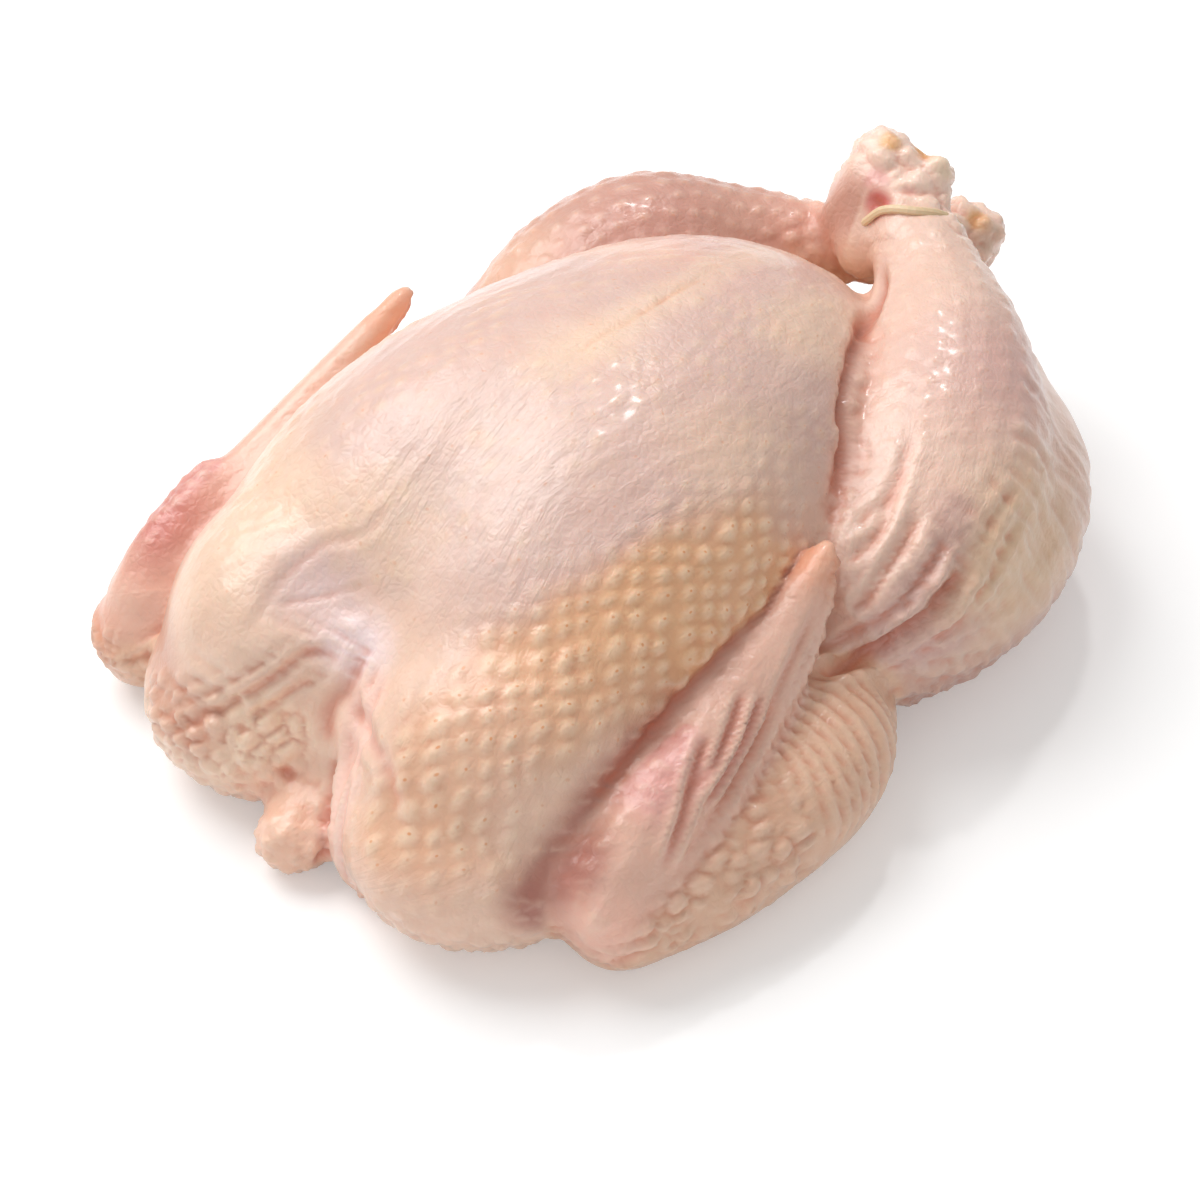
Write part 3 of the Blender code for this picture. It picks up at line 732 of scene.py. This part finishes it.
# fine wrinkles that run with the skin, and its own fine grain
stretched = node("ShaderNodeVectorMath", operation="MULTIPLY")
stretched.inputs[1].default_value = (0.5, 0.14, 1.0)
feed(run, stretched.inputs[0])
wrinkles = node("ShaderNodeTexNoise", Scale=1.0, Detail=4.0, Roughness=0.62, Distortion=0.6)
feed(stretched.outputs[0], wrinkles.inputs["Vector"])
grain = node("ShaderNodeTexNoise", Scale=900.0, Detail=2.0, Roughness=0.5)
feed(spot, grain.inputs["Vector"])
grain_share = node("ShaderNodeMath", operation="MULTIPLY")
grain_share.inputs[1].default_value = 0.22
feed(grain.outputs["Fac"], grain_share.inputs[0])
relief = node("ShaderNodeMath", operation="ADD")
feed(wrinkles.outputs["Fac"], relief.inputs[0])
feed(grain_share.outputs[0], relief.inputs[1])
calmed = node("ShaderNodeMath", operation="MULTIPLY")
feed(relief.outputs[0], calmed.inputs[0])
feed(node("ShaderNodeAttribute", attribute_name="calm").outputs["Fac"], calmed.inputs[1])

# a leathery net of shallow cells, the same all over
bent = node("ShaderNodeTexNoise", Scale=260.0, Detail=2.0)
feed(spot, bent.inputs["Vector"])
bend = node("ShaderNodeVectorMath", operation="SCALE", Scale=0.0022)
feed(bent.outputs["Color"], bend.inputs[0])
strayed = node("ShaderNodeVectorMath", operation="ADD")
feed(spot, strayed.inputs[0])
feed(bend.outputs[0], strayed.inputs[1])
cells = node("ShaderNodeTexVoronoi", feature="DISTANCE_TO_EDGE", Scale=430.0)
feed(strayed.outputs[0], cells.inputs["Vector"])
domed = node("ShaderNodeMapRange", From_Min=0.0, From_Max=0.35, To_Min=0.0, To_Max=0.16)
feed(cells.outputs["Distance"], domed.inputs["Value"])
leather = node("ShaderNodeMath", operation="ADD")
feed(calmed.outputs[0], leather.inputs[0])
feed(domed.outputs["Result"], leather.inputs[1])
bump = node("ShaderNodeBump", Strength=0.5, Distance=0.001)
feed(leather.outputs[0], bump.inputs["Height"])
feed(bump.outputs["Normal"], shader.inputs["Normal"])

# wet in places, drier in others
damp = node("ShaderNodeTexNoise", Scale=70.0, Detail=4.0, Roughness=0.65)
feed(spot, damp.inputs["Vector"])
gloss = node("ShaderNodeMapRange", From_Min=0.3, From_Max=0.7, To_Min=0.27, To_Max=0.5)
feed(damp.outputs["Fac"], gloss.inputs["Value"])
feed(gloss.outputs["Result"], shader.inputs["Roughness"])

net.materials.clear()
net.materials.append(moist_skin)
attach(skin, "root")
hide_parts("chicken")

# ---- Hock band -------------------------------------------------------------------------------
# A thin tan rubber band, 2.4 mm wide and 1.6 mm thick, looped round both shanks.
# Its solid has the right shape already and takes a dusty rubber finish.
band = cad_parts["hock_band"]
rubber = bpy.data.materials.new("tan_rubber")
rubber.use_nodes = True
nodes, links = rubber.node_tree.nodes, rubber.node_tree.links
shader = nodes["Principled BSDF"]
shader.inputs["Subsurface Weight"].default_value = 0.1
shader.inputs["Subsurface Scale"].default_value = 0.001
spot = node("ShaderNodeTexCoord").outputs["Object"]
cloud = node("ShaderNodeTexNoise", Scale=400.0, Detail=4.0, Roughness=0.6)
feed(spot, cloud.inputs["Vector"])
tan = node("ShaderNodeMix", data_type="RGBA")
tan.inputs[6].default_value = (*pigment(236, 214, 178), 1)
tan.inputs[7].default_value = (*pigment(220, 188, 146), 1)
feed(cloud.outputs["Fac"], tan.inputs[0])
feed(tan.outputs[2], shader.inputs["Base Color"])
dull = node("ShaderNodeMapRange", From_Min=0.3, From_Max=0.7, To_Min=0.38, To_Max=0.6)
feed(cloud.outputs["Fac"], dull.inputs["Value"])
feed(dull.outputs["Result"], shader.inputs["Roughness"])
dust = node("ShaderNodeBump", Strength=0.2, Distance=0.0002)
feed(cloud.outputs["Fac"], dust.inputs["Height"])
feed(dust.outputs["Normal"], shader.inputs["Normal"])
for slot in band.material_slots:
    slot.material = rubber

# ---- Table and light ---------------------------------------------------------------------------
# A plain white sweep under the bird, a big soft lamp high on its left, a small one high
# behind it, a weak one in front, and a pale room all round.
FLOOR_HALF = 6.0
bpy.ops.object.select_all(action="DESELECT")
bpy.ops.mesh.primitive_plane_add(size=2 * FLOOR_HALF, location=(0, 0, 0))
table = bpy.context.active_object
table.name = "table"
paper = bpy.data.materials.new("white_paper")
paper.use_nodes = True
nodes, links = paper.node_tree.nodes, paper.node_tree.links
shader = nodes["Principled BSDF"]
shader.inputs["Base Color"].default_value = (0.86, 0.86, 0.86, 1)
shader.inputs["Roughness"].default_value = 0.9
shader.inputs["Specular IOR Level"].default_value = 0.1
# the paper glows a little for the eye and in reflections, which keeps it white
rays = node("ShaderNodeLightPath")
lit = node("ShaderNodeEmission", Color=(1, 1, 1, 1))
mirrored = node("ShaderNodeMath", operation="MAXIMUM")
feed(rays.outputs["Is Camera Ray"], mirrored.inputs[0])
feed(rays.outputs["Is Glossy Ray"], mirrored.inputs[1])
looked_at = node("ShaderNodeMath", operation="MAXIMUM")
feed(mirrored.outputs[0], looked_at.inputs[0])
feed(rays.outputs["Is Transmission Ray"], looked_at.inputs[1])
seen = node("ShaderNodeMath", operation="MULTIPLY")
seen.inputs[1].default_value = 0.26
feed(looked_at.outputs[0], seen.inputs[0])
feed(seen.outputs[0], lit.inputs["Strength"])
both = node("ShaderNodeAddShader")
feed(shader.outputs[0], both.inputs[0])
feed(lit.outputs[0], both.inputs[1])
feed(both.outputs[0], nodes["Material Output"].inputs["Surface"])
table.data.materials.append(paper)

room = bpy.data.worlds.new("pale_room")
bpy.context.scene.world = room
room.use_nodes = True
nodes, links = room.node_tree.nodes, room.node_tree.links
sky = nodes["Background"]
sky.inputs["Color"].default_value = (1, 1, 1, 1)
sky.inputs["Strength"].default_value = 0.44

for name, spot_at, aim, size, power in (
        ("high_soft_lamp", (-0.75, -0.10, 1.05), (0, 0, 0.03), 1.0, 11.6),
        ("small_lamp", (-0.35, 0.55, 1.0), (0, 0, 0.03), 0.1, 2.0),
        ("front_soft_lamp", (0.5, -0.95, 0.7), (0, 0, 0.03), 0.7, 1.5)):
    lamp_data = bpy.data.lights.new(name, "AREA")
    lamp_data.shape = "DISK"
    lamp_data.size = size
    lamp_data.energy = power
    lamp = bpy.data.objects.new(name, lamp_data)
    bpy.context.scene.collection.objects.link(lamp)
    lamp.location = spot_at
    lamp.rotation_euler = (Vector(aim) - Vector(spot_at)).to_track_quat("-Z", "Y").to_euler()

# ---- Camera -------------------------------------------------------------------------------------
# It looks down on the bird's right shoulder.
AZIMUTH, ELEVATION, DISTANCE = math.radians(40.5), math.radians(43), 0.7097
AIM = Vector((0.00464, -0.02316, 0.01806))
towards = Vector((math.sin(AZIMUTH) * math.cos(ELEVATION), -math.cos(AZIMUTH) * math.cos(ELEVATION),
                  math.sin(ELEVATION)))
camera_data = bpy.data.cameras.new("camera")
camera_data.lens = 85
camera = bpy.data.objects.new("camera", camera_data)
bpy.context.scene.collection.objects.link(camera)
camera.location = AIM + DISTANCE * towards
camera.rotation_euler = (-towards).to_track_quat("-Z", "Y").to_euler()
bpy.context.scene.camera = camera
bpy.context.scene.view_settings.view_transform = "Standard"
